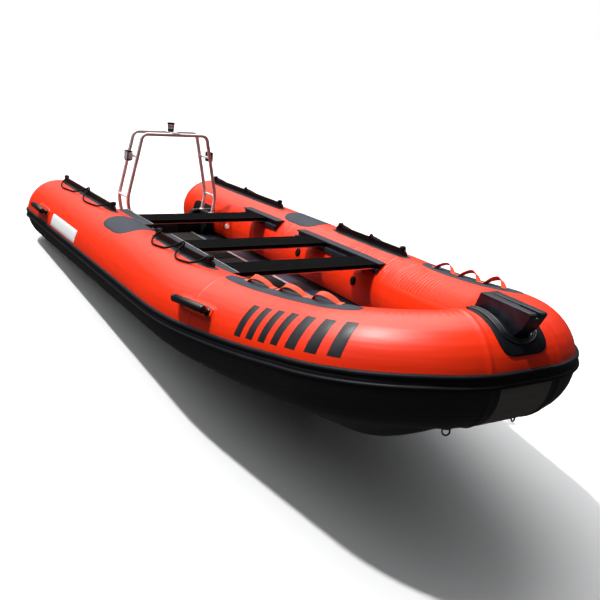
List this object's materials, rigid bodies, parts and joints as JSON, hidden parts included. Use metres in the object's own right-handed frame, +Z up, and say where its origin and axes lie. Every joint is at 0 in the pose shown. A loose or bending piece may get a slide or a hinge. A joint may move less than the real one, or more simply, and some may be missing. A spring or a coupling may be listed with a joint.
{
  "type": "inflatable rescue dinghy",
  "caption": "Orange inflatable boat with a black bottom and rub strake, a hard deck, sliding thwarts, a stainless light arch on the transom, grab handles, strap loops and laced flaps.",
  "frame": {"origin": "on the ground under the middle of the boat's box, as it stands ashore on its keel and its two stern tubes", "axes": "+X towards the bow, +Y to port, +Z up; the hull is pitched bow-up by 7.3 degrees about Y"},
  "size_m": [4.7028, 1.9698, 1.2756],
  "materials": {
    "tube_starboard": "satin orange coated fabric",
    "tube_port": "satin orange coated fabric",
    "tube_bow": "satin orange coated fabric",
    "rub_strake": "black coated fabric and moulded rubber",
    "hull_bottom": "black coated fabric and moulded rubber",
    "transom": "black coated marine plywood",
    "transom_knee_starboard": "black coated marine plywood",
    "transom_knee_port": "black coated marine plywood",
    "deck_panel_aft": "dark non-slip",
    "deck_panel_middle": "dark non-slip",
    "deck_panel_fore": "dark non-slip",
    "deck_stringer_starboard": "anodised",
    "deck_stringer_port": "anodised",
    "seat_aft": "black ribbed non-slip",
    "seat_middle": "black ribbed non-slip",
    "seat_fore": "black ribbed non-slip",
    "seat_rail_aft_starboard": "dark blue-grey ribbed rubber",
    "seat_rail_aft_port": "dark blue-grey ribbed rubber",
    "seat_rail_fore_starboard": "dark blue-grey ribbed rubber",
    "seat_rail_fore_port": "dark blue-grey ribbed rubber",
    "light_arch": "polished stainless",
    "all_round_light": "black housing",
    "lamp_starboard": "black housing",
    "lamp_port": "black housing",
    "bow_patch": "dark blue-grey ribbed rubber",
    "bow_chock": "moulded black",
    "tow_ring_starboard": "black coated fabric and moulded rubber",
    "tow_ring_port": "black coated fabric and moulded rubber",
    "flap_aft_starboard": "black coated fabric and moulded rubber",
    "flap_aft_port": "black coated fabric and moulded rubber",
    "flap_fore_starboard": "black coated fabric and moulded rubber",
    "flap_fore_port": "black coated fabric and moulded rubber",
    "lacing_aft_starboard": "black braided cord",
    "lacing_aft_port": "black braided cord",
    "lacing_fore_starboard": "black braided cord",
    "lacing_fore_port": "black braided cord",
    "grab_handle_aft_starboard": "moulded black",
    "grab_handle_aft_port": "moulded black",
    "grab_handle_middle_starboard": "moulded black",
    "grab_handle_middle_port": "moulded black",
    "bow_strap_starboard": "orange woven webbing",
    "bow_strap_port": "orange woven webbing",
    "wear_patch_starboard": "dark blue-grey ribbed rubber",
    "blank_plate_starboard": "plain white",
    "wear_patch_port": "dark blue-grey ribbed rubber",
    "blank_plate_port": "plain white"
  },
  "bodies": {
    "hull": {"tube_starboard": "tube_starboard", "tube_port": "tube_port", "tube_bow": "tube_bow", "rub_strake": "rub_strake", "hull_bottom": "hull_bottom", "transom": "transom", "transom_knee_starboard": "transom_knee_starboard", "transom_knee_port": "transom_knee_port", "deck_panel_aft": "deck_panel_aft", "deck_panel_middle": "deck_panel_middle", "deck_panel_fore": "deck_panel_fore", "deck_stringer_starboard": "deck_stringer_starboard", "deck_stringer_port": "deck_stringer_port", "seat_rail_aft_starboard": "seat_rail_aft_starboard", "seat_rail_aft_port": "seat_rail_aft_port", "seat_rail_fore_starboard": "seat_rail_fore_starboard", "seat_rail_fore_port": "seat_rail_fore_port", "light_arch": "light_arch", "all_round_light": "all_round_light", "lamp_starboard": "lamp_starboard", "lamp_port": "lamp_port", "bow_patch": "bow_patch", "bow_chock": "bow_chock", "tow_ring_starboard": "tow_ring_starboard", "tow_ring_port": "tow_ring_port", "flap_aft_starboard": "flap_aft_starboard", "flap_aft_port": "flap_aft_port", "flap_fore_starboard": "flap_fore_starboard", "flap_fore_port": "flap_fore_port", "lacing_aft_starboard": "lacing_aft_starboard", "lacing_aft_port": "lacing_aft_port", "lacing_fore_starboard": "lacing_fore_starboard", "lacing_fore_port": "lacing_fore_port", "grab_handle_aft_starboard": "grab_handle_aft_starboard", "grab_handle_aft_port": "grab_handle_aft_port", "grab_handle_middle_starboard": "grab_handle_middle_starboard", "grab_handle_middle_port": "grab_handle_middle_port", "bow_strap_starboard": "bow_strap_starboard", "bow_strap_port": "bow_strap_port", "wear_patch_starboard": "wear_patch_starboard", "blank_plate_starboard": "blank_plate_starboard", "wear_patch_port": "wear_patch_port", "blank_plate_port": "blank_plate_port"},
    "thwart_aft": {"seat_aft": "seat_aft"},
    "thwart_fore": {"seat_fore": "seat_fore"},
    "thwart_middle": {"seat_middle": "seat_middle"}
  },
  "joints": [
    {"name": "thwart_slide_aft", "type": "slide", "parent": "hull", "child": "thwart_aft", "axis": [0.9919, 0, 0.127], "range_m": [-0.155, 0.155]},
    {"name": "thwart_slide_middle", "type": "slide", "parent": "hull", "child": "thwart_middle", "axis": [0.9919, 0, 0.127], "range_m": [-0.155, 0.17]},
    {"name": "thwart_slide_fore", "type": "slide", "parent": "hull", "child": "thwart_fore", "axis": [0.9919, 0, 0.127], "range_m": [-0.17, 0.025]}
  ]
}
